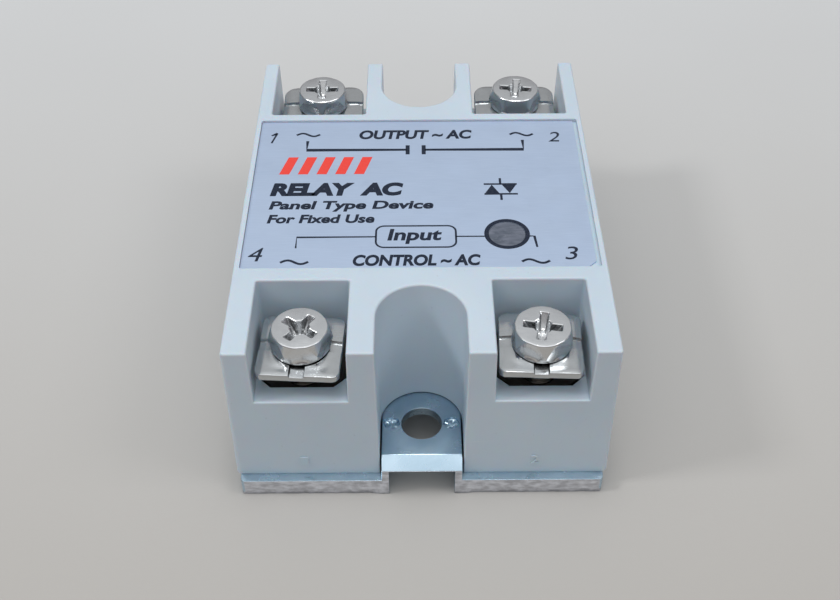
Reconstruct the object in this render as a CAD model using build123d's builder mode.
from build123d import *
from dataclasses import dataclass
import os

# Panel-mount solid state relay: a plastic housing on a metal base plate, four screw terminals with
# clamp washers, and the sealed circuit inside.
# Millimetres, +Z up. The origin is the centre of the base plate's underside.
# The input terminals, 4 and 3, are at the front (-Y). The output terminals, 1 and 2, are at the rear (+Y).

# base plate
plate_width = 43.4
plate_length = 60.6
plate_thickness = 2.6
plate_corner = 0.6
tab_half_width = 4.8
tab_top = 5.4
tab_inner_end = 17.3
tab_edge_radius = 0.25
tab_bevel_length = 1.7
tab_bevel_drop = 1.05
channel_half_width = 3.93
channel_top = 4.2
channel_inner_end = 18.3
mounting_hole_y = 23.8
mounting_hole_radius = 2.45
stake_x = 3.75
stake_sphere_radius = 1.5
stake_depth = 0.35

# housing
case_top = 23.0
housing_width = 44.5
housing_length = 58.2
housing_draft = 0.9
housing_corner = 0.7
housing_edge_radius = 0.25
housing_mouth_radius = 0.2
recess_width = 42.5
recess_length = 29.7
recess_y = -0.1
recess_depth = 0.45
recess_corner = 0.3
notch_top_half_width = 5.15
notch_top_y = 23.05
notch_foot_half_width = 4.98
notch_foot_y = 23.85
notch_past_end = 33.0
tab_clearance = 0.1
roof_underside = 21.0
chamber_width = 40.6
chamber_front = -15.7
chamber_rear = 14.7
corner_chamber_top = 11.2
corner_chamber_inner_x = 7.05
corner_chamber_end = 27.2
pocket_draft = 0.8
pocket_corner = 0.25

# terminals
terminal_x = 13.65
terminal_y = 23.7
sill_top = 15.2
pit_side_margin = 0.35
pit_corner_cut = 1.5
strip_top = 14.4
strip_thickness = 1.2
strip_bottom = strip_top - strip_thickness
strip_end = 26.1
strip_gap = 0.3
strip_neck_width = 6.0
strip_slot_clearance = 0.1
screw_radius = 1.95
screw_hole_radius = 2.0
screw_length = 8.0
screw_tip_chamfer = 0.4
screw_well_radius = 2.7
screw_well_bottom = 7.0
head_across_flats = 6.45
head_height = 2.6
head_top_radius = 3.27
head_cone_drop = 1.8
head_corner_radius = 3.75
head_foot_radius = 3.38
head_foot_rise = 0.1
head_collar_radius = 3.46
head_collar_top = 0.2
head_flare_top = 0.8
head_corner_start = 0.5
cross_length = 4.4
cross_width = 1.0
cross_foot_length = 2.0
cross_foot_width = 0.62
cross_depth = 1.7
cross_centre_radius = 0.95
cross_centre_foot_radius = 0.5
washer_top = 19.4
washer_thickness = 0.9
washer_length = 9.4
washer_hole_radius = 2.1
groove_width = 1.8
groove_depth = 0.3

# label and indicator
label_left = -21.2
label_right = 20.7
label_front = -14.9
label_rear = 14.7
label_thickness = 0.15
label_corner_cut = 1.2
led_x = 10.48
led_y = -8.69
led_radius = 1.5
led_flange_radius = 1.9
led_flange_bottom = 14.4
led_flange_thickness = 0.6
led_top = 19.5
led_lead_x = 1.27
window_radius = 2.2
window_clearance = 0.05
window_top = 22.66
window_bottom = 19.9
window_flange_radius = 3.0

# circuit board and what it carries
board_width = 38.0
board_front = -14.5
board_rear = 11.3
board_thickness = 1.6
board_top = strip_bottom
board_bottom = board_top - board_thickness
board_strip_end = -11.2
lead_radius = 0.3
lead_hole_radius = 0.45
lead_tail = 0.8
lead_bend_radius = 0.7
dip_stand_off = 0.5
dip_lead_thickness = 0.25
dip_lead_width = 0.55
dip_row_spacing = 7.62

# power stage
insulator_size = (20.0, 17.0, 0.6)
spreader_size = (16.0, 15.0, 1.5)
power_y = -1.0
triac_size = (14.0, 12.0, 3.2)
triac_lead_bottom = 4.95
triac_lead_thickness = 0.6
triac_lead_width = 1.6
triac_lead_end = 12.9
main_lead_x = 5.5
gate_lead_width = 0.9
gate_lead_y = 9.6
busbar_leg_rear = 13.4
busbar_foot_front = 10.4
busbar_foot_inner_x = 4.2
potting_top = 9.5
potting_margin = 0.6

housing_height = case_top - plate_thickness
recess_floor = case_top - recess_depth
washer_bottom = washer_top - washer_thickness
head_bottom = washer_top
head_top = head_bottom + head_height


@dataclass
class End:
    """What differs between the front (side -1) and the rear (side +1) of the relay."""

    side: int
    pocket_width: float
    pocket_wall: float
    pit_end: float
    washer_width: float
    washer_corner: float
    chamber_wall: float


front = End(-1, 10.6, 17.1, 26.6, 9.6, 0.9, -chamber_front)
rear = End(1, 12.5, 16.3, 26.9, 11.4, 1.9, chamber_rear)


@dataclass
class Terminal:
    """One screw terminal: its end and side of the relay, and how its screw happens to be turned."""

    end: End
    x: float
    head_angle: float
    cross_angle: float

    @property
    def y(self):
        return self.end.side * terminal_y


terminals = {
    1: Terminal(rear, -terminal_x, 30, 0),
    2: Terminal(rear, terminal_x, 0, -8),
    3: Terminal(front, terminal_x, 32, -10),
    4: Terminal(front, -terminal_x, 5, 54),
}


@dataclass
class Axial:
    """A board part with a round body and a lead at each end, lying along X or along Y."""

    x: float
    y: float
    length: float
    radius: float
    span: float
    along: tuple = (1, 0)

    def at(self, distance, height):
        return (self.x + distance * self.along[0], self.y + distance * self.along[1], height)


axial_parts = {
    "input_resistor_1": Axial(-1.5, -12.2, 8.0, 1.4, 12.0),
    "input_resistor_2": Axial(-1.5, -8.3, 8.0, 1.4, 12.0),
    "gate_resistor": Axial(1.0, 7.2, 5.5, 1.0, 9.0),
    "snubber_resistor": Axial(12.5, 2.0, 8.5, 1.6, 12.5),
}


@dataclass
class Boxed:
    """A board part with a block body on leads: its centre, body size and lead places."""

    x: float
    y: float
    size: tuple
    leads: list

    def lead_places(self):
        return [(self.x + u, self.y + v) for u, v in self.leads]


capacitors = {
    "input_capacitor": Boxed(-12.0, 6.8, (12.0, 5.0, 6.8), [(-5, 0), (5, 0)]),
    "snubber_capacitor": Boxed(12.5, 7.4, (11.0, 5.2, 6.4), [(-4, 0), (4, 0)]),
}

dip_parts = {
    "optocoupler": Boxed(
        0.0, -0.6, (8.7, 6.4, 3.4),
        [(u, v * dip_row_spacing / 2) for u in (-2.54, 0, 2.54) for v in (-1, 1)],
    ),
    "bridge_rectifier": Boxed(
        -13.0, -2.4, (8.3, 6.4, 3.2),
        [(u, v * dip_row_spacing / 2) for u in (-2.54, 2.54) for v in (-1, 1)],
    ),
}


def slab(x_range, y_range, z_range, mode=Mode.ADD):
    """Adds or takes away a block between the given limits in the part being built."""
    size = [high - low for low, high in (x_range, y_range, z_range)]
    centre = [(high + low) / 2 for low, high in (x_range, y_range, z_range)]
    with Locations(tuple(centre)):
        Box(*size, mode=mode)


def span(side, inner, outer):
    """The limits of a stretch from inner to outer, on the given side of the centre line."""
    return (inner, outer) if side > 0 else (-outer, -inner)


def keep(piece, name):
    """Labels a finished piece and writes its file."""
    piece.part.label = name
    export_step(piece.part, f"parts/{name}.step")


def notch_outline(half_width, centre_y, side):
    """A U whose round end is centred at centre_y, open towards the relay's end."""
    start = (-half_width, side * notch_past_end)
    left = (-half_width, side * centre_y)
    right = (half_width, side * centre_y)
    finish = (half_width, side * notch_past_end)
    with BuildLine() as outline:
        Line(start, left)
        ThreePointArc(left, (0, side * (centre_y - half_width)), right)
        Line(right, finish)
        Line(finish, start)
    make_face(outline.edges())


def pit_outline(end, x):
    """The opening behind a pocket's sill, with its two outer corners cut at 45 degrees."""
    half = end.pocket_width / 2 - pit_side_margin / 2
    outer = end.pit_end
    near = end.side * end.pocket_wall
    with BuildLine() as outline:
        Polyline(
            (x - half, near),
            (x - half, end.side * (outer - pit_corner_cut)),
            (x - half + pit_corner_cut, end.side * outer),
            (x + half - pit_corner_cut, end.side * outer),
            (x + half, end.side * (outer - pit_corner_cut)),
            (x + half, near),
            close=True,
        )
    make_face(outline.edges())


os.makedirs("parts", exist_ok=True)

# base plate: a flange with a raised tab over a channel at each end
with BuildPart() as base_plate:
    with BuildSketch():
        RectangleRounded(plate_width, plate_length, plate_corner)
    extrude(amount=plate_thickness)
    for side in (-1, 1):
        end_y = plate_length / 2
        slab((-tab_half_width, tab_half_width), span(side, tab_inner_end, end_y), (0, tab_top))
        slab(
            (-channel_half_width, channel_half_width),
            span(side, channel_inner_end, end_y + 1),
            (-1, channel_top),
            mode=Mode.SUBTRACT,
        )
        with BuildSketch(Plane.YZ):
            with BuildLine():
                Polyline(
                    (side * (end_y - tab_bevel_length), tab_top),
                    (side * (end_y + 1), tab_top + 1),
                    (side * (end_y + 1), tab_top - tab_bevel_drop),
                    (side * end_y, tab_top - tab_bevel_drop),
                    close=True,
                )
            make_face()
        extrude(amount=2 * tab_half_width, both=True, mode=Mode.SUBTRACT)
        with Locations((0, side * mounting_hole_y, tab_top)):
            Hole(mounting_hole_radius, tab_top)
        stake_z = tab_top + stake_sphere_radius - stake_depth
        with Locations(*[(x, side * mounting_hole_y, stake_z) for x in (-stake_x, stake_x)]):
            Sphere(stake_sphere_radius, mode=Mode.SUBTRACT)
keep(base_plate, "base_plate")

# housing: drafted block, open underneath, with a label recess, two notches and four terminal pockets
with BuildPart() as housing:
    with BuildSketch(Plane.XY.offset(plate_thickness)):
        RectangleRounded(housing_width, housing_length, housing_corner)
    extrude(amount=housing_height, taper=housing_draft)
    for end in (front, rear):
        with BuildSketch(Plane.XY.offset(plate_thickness)):
            notch_outline(notch_foot_half_width, notch_foot_y, end.side)
        with BuildSketch(Plane.XY.offset(case_top)):
            notch_outline(notch_top_half_width, notch_top_y, end.side)
        loft(mode=Mode.SUBTRACT)
    for terminal in terminals.values():
        end = terminal.end
        reach = housing_length / 2 + 3 - end.pocket_wall
        with BuildSketch(Plane.XY.offset(sill_top)):
            with Locations((terminal.x, end.side * (end.pocket_wall + reach / 2))):
                RectangleRounded(end.pocket_width, reach, pocket_corner)
        extrude(amount=case_top - sill_top, taper=-pocket_draft, mode=Mode.SUBTRACT)
    end_edges = housing.edges().filter_by(lambda edge: abs(edge.center().Y) > strip_end)
    mouth_edges = end_edges.filter_by(
        lambda edge: abs(edge.center().X) < chamber_width / 2
        and plate_thickness < edge.center().Z < case_top
    )
    fillet(mouth_edges, housing_mouth_radius)
    fillet(housing.faces().sort_by(Axis.Z)[-1].edges(), housing_edge_radius)
    with BuildSketch(Plane.XY.offset(recess_floor)):
        with Locations((0, recess_y)):
            RectangleRounded(recess_width, recess_length, recess_corner)
    extrude(amount=recess_depth + 1, mode=Mode.SUBTRACT)
    slab(
        (-chamber_width / 2, chamber_width / 2),
        (chamber_front, chamber_rear),
        (plate_thickness, roof_underside),
        mode=Mode.SUBTRACT,
    )
    for terminal in terminals.values():
        end = terminal.end
        x_side = 1 if terminal.x > 0 else -1
        slab(
            span(x_side, corner_chamber_inner_x, chamber_width / 2),
            span(end.side, end.pocket_wall, corner_chamber_end),
            (plate_thickness, corner_chamber_top),
            mode=Mode.SUBTRACT,
        )
        with BuildSketch(Plane.XY.offset(corner_chamber_top)):
            pit_outline(end, terminal.x)
        extrude(amount=sill_top - corner_chamber_top, mode=Mode.SUBTRACT)
        half_slot = strip_neck_width / 2 + strip_slot_clearance
        slab(
            (terminal.x - half_slot, terminal.x + half_slot),
            span(end.side, end.chamber_wall, end.pocket_wall),
            (plate_thickness, strip_top + strip_slot_clearance),
            mode=Mode.SUBTRACT,
        )
    for side in (-1, 1):
        slab(
            (-tab_half_width - tab_clearance, tab_half_width + tab_clearance),
            span(side, tab_inner_end - tab_clearance, plate_length / 2),
            (plate_thickness, tab_top + tab_clearance / 2),
            mode=Mode.SUBTRACT,
        )
    with Locations((led_x, led_y, recess_floor)):
        Hole(window_radius + window_clearance, recess_depth + recess_floor - roof_underside)
keep(housing, "housing")

# label: thin foil in the recess, with one corner clipped and a hole for the indicator window
with BuildPart() as label:
    with BuildSketch(Plane.XY.offset(recess_floor)):
        with BuildLine():
            Polyline(
                (label_left, label_front),
                (label_right - label_corner_cut, label_front),
                (label_right, label_front + label_corner_cut),
                (label_right, label_rear),
                (label_left, label_rear),
                close=True,
            )
        make_face()
        with Locations((led_x, led_y)):
            Circle(window_radius + window_clearance, mode=Mode.SUBTRACT)
    extrude(amount=label_thickness)
keep(label, "label")

# indicator window: a stepped light pipe with its flange under the housing's roof
with BuildPart() as indicator_window:
    with BuildSketch(Plane.XY.offset(window_bottom)):
        with Locations((led_x, led_y)):
            Circle(window_flange_radius)
    extrude(amount=roof_underside - window_clearance - window_bottom)
    with BuildSketch(Plane.XY.offset(window_bottom)):
        with Locations((led_x, led_y)):
            Circle(window_radius)
    extrude(amount=window_top - window_bottom)
keep(indicator_window, "indicator_window")

# indicator LED: flanged body with a domed top on two leads through the board
with BuildPart() as indicator_led:
    with BuildSketch(Plane.XY.offset(led_flange_bottom)):
        with Locations((led_x, led_y)):
            Circle(led_flange_radius)
    extrude(amount=led_flange_thickness)
    with BuildSketch(Plane.XY.offset(led_flange_bottom)):
        with Locations((led_x, led_y)):
            Circle(led_radius)
    extrude(amount=led_top - led_radius - led_flange_bottom)
    with Locations((led_x, led_y, led_top - led_radius)):
        Sphere(led_radius)
    with BuildSketch(Plane.XY.offset(board_bottom - lead_tail)):
        with Locations((led_x - led_lead_x, led_y), (led_x + led_lead_x, led_y)):
            Circle(lead_radius)
    extrude(amount=led_flange_bottom + lead_radius - board_bottom + lead_tail)
keep(indicator_led, "indicator_led")

# circuit board: drilled for every lead that passes through it
lead_places = [(led_x - led_lead_x, led_y), (led_x + led_lead_x, led_y), (0, gate_lead_y)]
for part in (*capacitors.values(), *dip_parts.values()):
    lead_places += part.lead_places()
for part in axial_parts.values():
    lead_places += [part.at(sign * part.span / 2, 0)[:2] for sign in (-1, 1)]
with BuildPart() as circuit_board:
    slab(
        (-board_width / 2, board_width / 2),
        (board_front, board_rear),
        (board_bottom, board_top),
    )
    with BuildSketch(Plane.XY.offset(board_bottom)):
        with Locations(*lead_places):
            Circle(lead_hole_radius)
    extrude(amount=board_thickness, mode=Mode.SUBTRACT)
keep(circuit_board, "circuit_board")

# resistors: a round body on one wire bent down through the board at both ends
for name, part in axial_parts.items():
    wire_z = board_top + part.radius + lead_radius
    low_z = board_bottom - lead_tail
    with BuildPart() as resistor:
        with BuildLine():
            FilletPolyline(
                part.at(-part.span / 2, low_z),
                part.at(-part.span / 2, wire_z),
                part.at(part.span / 2, wire_z),
                part.at(part.span / 2, low_z),
                radius=lead_bend_radius,
            )
        with BuildSketch(Plane(origin=part.at(-part.span / 2, low_z))):
            Circle(lead_radius)
        sweep()
        with BuildSketch(Plane(origin=part.at(-part.length / 2, wire_z), z_dir=(*part.along, 0))):
            Circle(part.radius)
        extrude(amount=part.length)
    keep(resistor, name)

# film capacitors: a block on two wire leads
for name, part in capacitors.items():
    width, depth, height = part.size
    with BuildPart() as capacitor:
        with BuildSketch(Plane.XY.offset(board_top)):
            with Locations((part.x, part.y)):
                RectangleRounded(width, depth, lead_hole_radius)
        extrude(amount=height)
        with BuildSketch(Plane.XY.offset(board_bottom - lead_tail)):
            with Locations(*part.lead_places()):
                Circle(lead_radius)
        extrude(amount=board_thickness + lead_tail)
    keep(capacitor, name)

# optocoupler and bridge rectifier: moulded bodies with two rows of bent leads
for name, part in dip_parts.items():
    width, depth, height = part.size
    body_bottom = board_top + dip_stand_off
    lead_z = body_bottom + height / 2
    with BuildPart() as dip:
        slab(
            (part.x - width / 2, part.x + width / 2),
            (part.y - depth / 2, part.y + depth / 2),
            (body_bottom, body_bottom + height),
        )
        for lead_x, lead_y in part.lead_places():
            outward = 1 if lead_y > part.y else -1
            x_range = (lead_x - dip_lead_width / 2, lead_x + dip_lead_width / 2)
            outer = abs(lead_y - part.y) + dip_lead_thickness / 2
            y_low, y_high = span(outward, depth / 2 - dip_lead_thickness, outer)
            slab(x_range, (part.y + y_low, part.y + y_high), (lead_z - dip_lead_thickness, lead_z))
            y_low, y_high = span(outward, outer - dip_lead_thickness, outer)
            slab(x_range, (part.y + y_low, part.y + y_high), (board_bottom - lead_tail, lead_z))
    keep(dip, name)

# insulator pad, copper tab and moulded body of the power triac, stacked on the base plate
stack_z = plate_thickness
power_stack = {}
for name, size in {
    "insulator_pad": insulator_size,
    "triac_tab": spreader_size,
    "triac_body": triac_size,
}.items():
    width, depth, height = size
    with BuildPart() as layer:
        slab(
            (-width / 2, width / 2),
            (power_y - depth / 2, power_y + depth / 2),
            (stack_z, stack_z + height),
        )
        if name == "triac_body":
            lead_rear = power_y + depth / 2
            for lead_x, lead_width in (
                (-main_lead_x, triac_lead_width),
                (0, gate_lead_width),
                (main_lead_x, triac_lead_width),
            ):
                slab(
                    (lead_x - lead_width / 2, lead_x + lead_width / 2),
                    (lead_rear - triac_lead_width, lead_rear),
                    (triac_lead_bottom, triac_lead_bottom + triac_lead_thickness),
                    mode=Mode.SUBTRACT,
                )
    power_stack[name] = layer.part
    keep(layer, name)
    stack_z += height

# triac leads: two wide ones run under the output busbars, and the gate lead turns up to the board
lead_inner = power_y + triac_size[1] / 2 - triac_lead_width
triac_leads = {}
for name, lead_x in {"triac_main_lead_1": -main_lead_x, "triac_main_lead_2": main_lead_x}.items():
    with BuildPart() as lead:
        slab(
            (lead_x - triac_lead_width / 2, lead_x + triac_lead_width / 2),
            (lead_inner, triac_lead_end),
            (triac_lead_bottom, triac_lead_bottom + triac_lead_thickness),
        )
    triac_leads[name] = lead.part
    keep(lead, name)
with BuildPart() as triac_gate_lead:
    slab(
        (-gate_lead_width / 2, gate_lead_width / 2),
        (lead_inner, gate_lead_y + triac_lead_thickness / 2),
        (triac_lead_bottom, triac_lead_bottom + triac_lead_thickness),
    )
    slab(
        (-lead_radius, lead_radius),
        (gate_lead_y - triac_lead_thickness / 2, gate_lead_y + triac_lead_thickness / 2),
        (triac_lead_bottom, board_top + lead_tail),
    )
triac_leads["triac_gate_lead"] = triac_gate_lead.part
keep(triac_gate_lead, "triac_gate_lead")

# terminal strips: each lies in its pit with the tapped hole under the screw. The input strips end on
# the board, and the output strips turn down as busbars whose feet lie on the triac's main leads.
terminal_strips = {}
for number, terminal in terminals.items():
    end = terminal.end
    x_side = 1 if terminal.x > 0 else -1
    half_width = end.pocket_width / 2 - strip_gap - pit_side_margin
    neck = (terminal.x - strip_neck_width / 2, terminal.x + strip_neck_width / 2)
    with BuildPart() as strip:
        slab(
            (terminal.x - half_width, terminal.x + half_width),
            span(end.side, end.pocket_wall + strip_gap, strip_end),
            (strip_bottom, strip_top),
        )
        outer_corners = strip.edges().filter_by(Axis.Z).group_by(Axis.Y)[-1 if end is rear else 0]
        chamfer(outer_corners, pit_corner_cut)
        if end is front:
            slab(neck, (-end.pocket_wall - strip_gap, board_strip_end), (strip_bottom, strip_top))
        else:
            leg_front = busbar_leg_rear - strip_thickness
            foot_bottom = triac_lead_bottom + triac_lead_thickness
            slab(neck, (leg_front, end.pocket_wall + strip_gap), (strip_bottom, strip_top))
            slab(neck, (leg_front, busbar_leg_rear), (foot_bottom, strip_top))
            slab(
                span(x_side, busbar_foot_inner_x, terminal_x + strip_neck_width / 2),
                (busbar_foot_front, busbar_leg_rear),
                (foot_bottom, foot_bottom + strip_thickness),
            )
        with Locations((terminal.x, terminal.y, strip_top)):
            Hole(screw_hole_radius, strip_thickness)
    terminal_strips[number] = strip.part
    keep(strip, f"terminal_strip_{number}")

# potting compound: fills the housing round the power stage, and the pits up to the terminal strips
with BuildPart() as potting:
    slab(
        (-chamber_width / 2, chamber_width / 2),
        (chamber_front, chamber_rear),
        (plate_thickness, potting_top),
    )
    for number, terminal in terminals.items():
        end = terminal.end
        x_side = 1 if terminal.x > 0 else -1
        half_slot = strip_neck_width / 2 + strip_slot_clearance
        slab(
            (terminal.x - half_slot, terminal.x + half_slot),
            span(end.side, end.chamber_wall, end.pocket_wall),
            (plate_thickness, potting_top),
        )
        slab(
            span(x_side, corner_chamber_inner_x, chamber_width / 2),
            span(end.side, end.pocket_wall, corner_chamber_end),
            (plate_thickness, corner_chamber_top),
        )
        with BuildSketch(Plane.XY.offset(corner_chamber_top)):
            pit_outline(end, terminal.x)
        extrude(amount=strip_top - potting_margin - corner_chamber_top)
    for inner in (*power_stack.values(), *triac_leads.values(), *terminal_strips.values()):
        add(inner, mode=Mode.SUBTRACT)
    for terminal in terminals.values():
        with Locations((terminal.x, terminal.y, strip_bottom)):
            Hole(screw_well_radius, strip_bottom - screw_well_bottom)
keep(potting, "potting_compound")

# clamp washers: square plates with a cross pressed into the top, which stands out underneath
for number, terminal in terminals.items():
    end = terminal.end
    with BuildPart() as washer:
        with BuildSketch(Plane.XY.offset(washer_bottom)):
            with Locations((terminal.x, terminal.y)):
                RectangleRounded(end.washer_width, washer_length, end.washer_corner)
        extrude(amount=washer_thickness)
        with BuildSketch(Plane.XY.offset(washer_top - groove_depth)):
            with Locations((terminal.x, terminal.y)):
                Rectangle(end.washer_width, groove_width)
                Rectangle(groove_width, washer_length)
        extrude(amount=groove_depth, mode=Mode.SUBTRACT)
        with BuildSketch(Plane.XY.offset(washer_bottom - groove_depth)):
            with Locations((terminal.x, terminal.y)):
                Rectangle(end.washer_width, groove_width)
                Rectangle(groove_width, washer_length)
        extrude(amount=groove_depth)
        with Locations((terminal.x, terminal.y, washer_top)):
            Hole(washer_hole_radius, washer_thickness + groove_depth)
    keep(washer, f"clamp_washer_{number}")

# terminal screws: hexagon heads with a conical chamfer, a round foot and a cross recess, on plain shanks
for number, terminal in terminals.items():
    with BuildPart() as screw:
        with BuildSketch(Plane.XY.offset(head_bottom)):
            with Locations((terminal.x, terminal.y)):
                RegularPolygon(
                    head_across_flats / 2, 6, major_radius=False, rotation=terminal.head_angle
                )
        extrude(amount=head_height)
        with BuildSketch(Plane.XZ.offset(-terminal.y)):
            with BuildLine():
                Polyline(
                    (terminal.x, head_bottom),
                    (terminal.x + head_foot_radius, head_bottom),
                    (terminal.x + head_collar_radius, head_bottom + head_foot_rise),
                    (terminal.x + head_corner_radius, head_bottom + head_corner_start),
                    (terminal.x + head_corner_radius, head_top - head_cone_drop),
                    (terminal.x + head_top_radius, head_top),
                    (terminal.x, head_top),
                    close=True,
                )
            make_face()
        revolve(axis=Axis((terminal.x, terminal.y, 0), (0, 0, 1)), mode=Mode.INTERSECT)
        with BuildSketch(Plane.XZ.offset(-terminal.y)):
            with BuildLine():
                Polyline(
                    (terminal.x, head_bottom),
                    (terminal.x + head_foot_radius, head_bottom),
                    (terminal.x + head_collar_radius, head_bottom + head_foot_rise),
                    (terminal.x + head_collar_radius, head_bottom + head_collar_top),
                    (terminal.x + head_across_flats / 2, head_bottom + head_flare_top),
                    (terminal.x, head_bottom + head_flare_top),
                    close=True,
                )
            make_face()
        revolve(axis=Axis((terminal.x, terminal.y, 0), (0, 0, 1)))
        with BuildSketch(Plane.XY.offset(head_top)):
            with Locations((terminal.x, terminal.y)):
                Rectangle(cross_length, cross_width, rotation=terminal.cross_angle)
        with BuildSketch(Plane.XY.offset(head_top - cross_depth)):
            with Locations((terminal.x, terminal.y)):
                Rectangle(cross_foot_length, cross_foot_width, rotation=terminal.cross_angle)
        loft(mode=Mode.SUBTRACT)
        with BuildSketch(Plane.XY.offset(head_top)):
            with Locations((terminal.x, terminal.y)):
                Rectangle(cross_width, cross_length, rotation=terminal.cross_angle)
        with BuildSketch(Plane.XY.offset(head_top - cross_depth)):
            with Locations((terminal.x, terminal.y)):
                Rectangle(cross_foot_width, cross_foot_length, rotation=terminal.cross_angle)
        loft(mode=Mode.SUBTRACT)
        with Locations((terminal.x, terminal.y, head_top - cross_depth / 2)):
            Cone(cross_centre_foot_radius, cross_centre_radius, cross_depth, mode=Mode.SUBTRACT)
        with BuildSketch(Plane.XY.offset(head_bottom)):
            with Locations((terminal.x, terminal.y)):
                Circle(screw_radius)
        extrude(amount=-screw_length)
        chamfer(screw.edges().sort_by(Axis.Z)[0], screw_tip_chamfer)
    keep(screw, f"terminal_screw_{number}")
